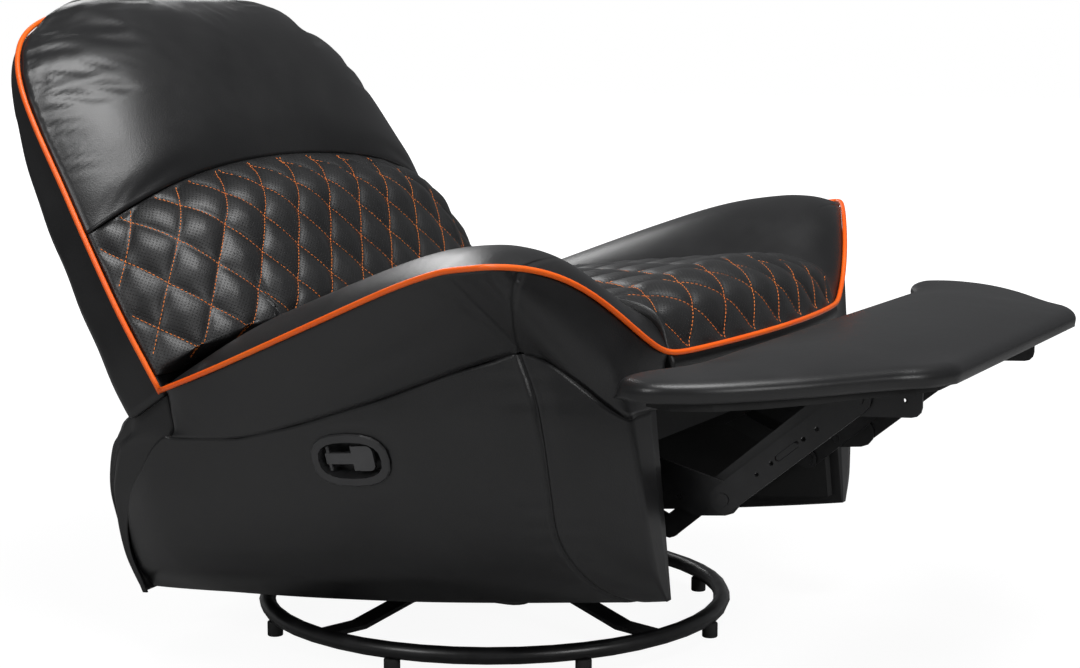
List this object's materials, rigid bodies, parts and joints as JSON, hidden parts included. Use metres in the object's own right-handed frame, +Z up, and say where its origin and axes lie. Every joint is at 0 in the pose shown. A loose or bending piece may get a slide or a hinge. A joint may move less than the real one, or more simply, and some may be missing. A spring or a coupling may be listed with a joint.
{
  "type": "recliner sofa",
  "caption": "Swivel rocker recliner in black leather with orange piping, winged arms, quilted seat, leaning back and pop-up footrest on a round steel base.",
  "frame": {"origin": "on the floor under the middle of the sofa's whole box, footrest out and back leaning", "axes": "+Z up, +Y to the back of the sofa, +X to the sitter's left"},
  "size_m": [1.1122, 1.2964, 0.8422],
  "materials": {
    "black_leather": "satin",
    "orange_piping": "satin",
    "black_steel": "satin powder coat",
    "bright_steel": "satin",
    "spring_steel": "oil black",
    "black_rubber": "matt",
    "black_board": "painted black",
    "black_plastic": "satin"
  },
  "bodies": {
    "base": {"base_ring": "black_steel", "glide_1": "black_rubber", "glide_2": "black_rubber", "glide_3": "black_rubber", "glide_4": "black_rubber", "glide_5": "black_rubber", "glide_6": "black_rubber", "glide_7": "black_rubber", "glide_8": "black_rubber", "lower_race": "bright_steel", "pivot_bolt": "bright_steel"},
    "turntable": {"swivel_plate": "black_steel", "rock_shaft": "bright_steel", "rocker_spring_front_near": "spring_steel", "rocker_spring_front_far": "spring_steel", "rocker_spring_rear_near": "spring_steel", "rocker_spring_rear_far": "spring_steel"},
    "tub": {"rocker_frame": "black_steel", "front_rail": "black_board", "rear_rail": "black_board", "rear_board": "black_board", "side_board_near": "black_board", "side_board_far": "black_board", "side_panel_near": "black_leather", "side_panel_far": "black_leather", "arm_near": "black_leather", "arm_far": "black_leather", "rear_gusset": "black_leather", "seat_spring_1": "spring_steel", "seat_spring_2": "spring_steel", "seat_spring_3": "spring_steel", "seat_cushion": "black_leather", "arm_piping": "orange_piping", "handle_cup": "black_plastic", "mechanism_rail_near": "black_steel", "mechanism_rail_far": "black_steel", "hinge_post_near": "black_steel", "hinge_post_far": "black_steel"},
    "release_paddle_body": {"release_paddle": "black_plastic"},
    "back": {"back_frame": "black_board", "back_shell": "black_leather", "head_pad": "black_leather", "lumbar_cushion": "black_leather", "back_piping": "orange_piping", "back_bracket_near": "black_steel", "back_bracket_far": "black_steel"},
    "cranks": {"footrest_crank_near": "black_steel", "footrest_crank_far": "black_steel", "torque_tube": "black_steel"},
    "long_links": {"long_link_near": "black_steel", "long_link_far": "black_steel"},
    "footrest": {"footrest_board": "black_board", "footrest_pad": "black_leather", "pad_bracket_near": "black_steel", "pad_bracket_far": "black_steel"},
    "control_links": {"control_link_near": "black_steel", "control_link_far": "black_steel"},
    "stay_links": {"stay_link_near": "black_steel", "stay_link_far": "black_steel"}
  },
  "joints": [
    {"name": "swivel", "type": "hinge", "parent": "base", "child": "turntable", "pos_m": [0, 0.07979, 0.06], "axis": [0, 0, 1], "continuous": true},
    {"name": "rock", "type": "hinge", "parent": "turntable", "child": "tub", "pos_m": [0, 0.07979, 0.13], "axis": [-1, 0, 0], "range_deg": [-13, 3], "stiffness_Nm_per_rad": 900, "deforming": ["rocker_spring_front_near", "rocker_spring_front_far", "rocker_spring_rear_near", "rocker_spring_rear_far"]},
    {"name": "recline", "type": "hinge", "parent": "tub", "child": "back", "pos_m": [0, 0.31937, 0.35407], "axis": [-1, 0, 0], "range_deg": [-22.5, 10]},
    {"name": "footrest_fold", "type": "hinge", "parent": "tub", "child": "cranks", "pos_m": [0, -0.20019, 0.29499], "axis": [1, 0, 0], "range_deg": [0, 100.39]},
    {"name": "knee", "type": "hinge", "parent": "cranks", "child": "long_links", "pos_m": [0, -0.36427, 0.25303], "axis": [1, 0, 0], "range_deg": [-95.13, 0.02]},
    {"name": "toe", "type": "hinge", "parent": "long_links", "child": "footrest", "pos_m": [0, -0.52718, 0.38595], "axis": [1, 0, 0], "range_deg": [-0.02, 84.74]},
    {"name": "control_pivot", "type": "hinge", "parent": "cranks", "child": "control_links", "pos_m": [0, -0.32945, 0.24248], "axis": [1, 0, 0], "range_deg": [-95.79, 0.02]},
    {"name": "stay_pivot", "type": "hinge", "parent": "tub", "child": "stay_links", "pos_m": [0, -0.16155, 0.26707], "axis": [1, 0, 0], "range_deg": [-0.02, 99.32]},
    {"name": "release", "type": "hinge", "parent": "tub", "child": "release_paddle_body", "pos_m": [-0.42017, 0.07436, 0.29269], "axis": [0.2374, -0.0931, -0.9669], "range_deg": [0, 25], "stiffness_Nm_per_rad": 0.2, "springref_deg": -5.73}
  ],
  "couplings": [
    {"joint": "knee", "follows": "footrest_fold", "ratio": -0.94742},
    {"joint": "toe", "follows": "footrest_fold", "ratio": 0.84389},
    {"joint": "control_pivot", "follows": "footrest_fold", "ratio": -0.95397},
    {"joint": "stay_pivot", "follows": "footrest_fold", "ratio": 0.98908}
  ]
}
